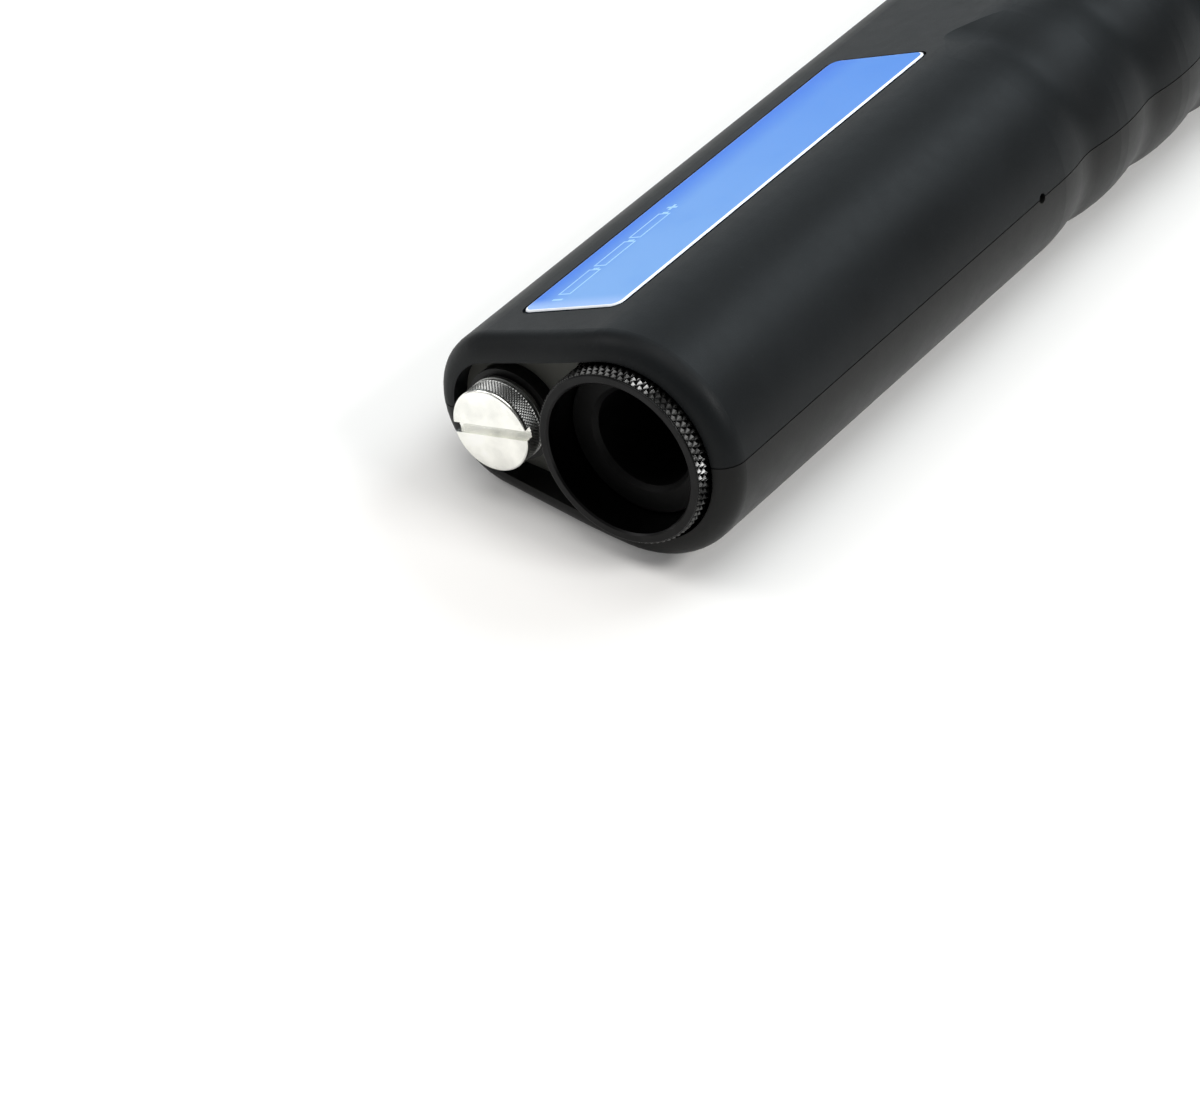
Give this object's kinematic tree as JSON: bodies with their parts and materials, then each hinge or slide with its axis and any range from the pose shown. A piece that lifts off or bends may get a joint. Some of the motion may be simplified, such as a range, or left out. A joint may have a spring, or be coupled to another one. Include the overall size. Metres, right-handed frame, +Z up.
{
  "type": "fiber inspection microscope",
  "caption": "Hand-held scope for fibre connector ends: pear-section clamshell body with finger grips, knurled focus ring around a socket, coin-slot battery cap, light button and rubber eyecup.",
  "frame": {"origin": "under the middle of the whole, on the plane of the lower flat it lies on", "axes": "+Z up, +Y from the focus ring at the front to the eyecup at the rear along both axes, +X from the battery side to the optics side"},
  "size_m": [0.0594, 0.2314, 0.04],
  "materials": {
    "upper_case": "soft-touch black, fine matt",
    "lower_case": "soft-touch black, fine matt",
    "screw_steel": "plain steel",
    "label_blue": "blue print under a clear dome, glossy",
    "front_grey": "dark grey, matt",
    "ring_black": "black anodised, diamond knurl, satin lip",
    "adapter_black": "black anodised, matt",
    "sleeve_white": "white ceramic",
    "optics_black": "black anodised, matt",
    "lens_glass": "polished and coated",
    "filter_glass": "polished, blue-green",
    "board_green": "green circuit board",
    "lamp_clear": "clear resin",
    "switch_black": "black",
    "button_rubber": "dark grey, matt",
    "tube_black": "black, matt",
    "contact_brass": "plain",
    "cap_silver": "bright turned, knurled side",
    "cup_rubber": "black, soft",
    "cell_wrap": "plain grey wrap"
  },
  "bodies": {
    "housing": {"upper_shell": "upper_case", "lower_shell": "lower_case", "shell_screws": "screw_steel", "label_plate": "label_blue", "front_plate": "front_grey", "connector_adapter": "adapter_black", "ferrule_sleeve": "sleeve_white", "optical_tube": "optics_black", "splitter_holder": "optics_black", "splitter_plate": "lens_glass", "ir_filter": "filter_glass", "lamp_board": "board_green", "lamp_led": "lamp_clear", "push_switch": "switch_black", "battery_tube": "tube_black", "rear_contact": "contact_brass", "battery_cell_front": "cell_wrap", "battery_cell_middle": "cell_wrap", "battery_cell_rear": "cell_wrap", "eyepiece_barrel": "optics_black", "field_lens": "lens_glass", "eye_lens": "lens_glass", "eyecup": "cup_rubber"},
    "focus_ring": {"focus_ring": "ring_black"},
    "objective": {"objective_carriage": "optics_black", "objective_front_lens": "lens_glass", "objective_rear_lens": "lens_glass", "drive_pin": "screw_steel"},
    "cap_carrier": {"contact_disc": "contact_brass", "contact_spring": "screw_steel"},
    "battery_cap": {"battery_cap": "cap_silver"},
    "light_button": {"light_button": "button_rubber"}
  },
  "joints": [
    {"name": "focus_turn", "type": "hinge", "parent": "housing", "child": "focus_ring", "pos_m": [0.00973, -0.1, 0.02], "axis": [0, 1, 0], "range_deg": [-60, 60]},
    {"name": "objective_travel", "type": "slide", "parent": "housing", "child": "objective", "axis": [0, 1, 0], "range_m": [-0.002, 0.002]},
    {"name": "cap_travel", "type": "slide", "parent": "housing", "child": "cap_carrier", "axis": [0, -1, 0], "range_m": [0, 0.00531]},
    {"name": "cap_turn", "type": "hinge", "parent": "cap_carrier", "child": "battery_cap", "pos_m": [-0.01543, -0.11, 0.0143], "axis": [0, -1, 0], "range_deg": [0, 1530]},
    {"name": "light_button_press", "type": "slide", "parent": "housing", "child": "light_button", "axis": [0.4309, 0, -0.9024], "range_m": [0, 0.0008], "stiffness_N_per_m": 1500}
  ],
  "couplings": [
    {"joint": "focus_turn", "follows": "objective_travel", "rad_per_m": -523.6},
    {"joint": "cap_turn", "follows": "cap_travel", "rad_per_m": 5026.5}
  ]
}
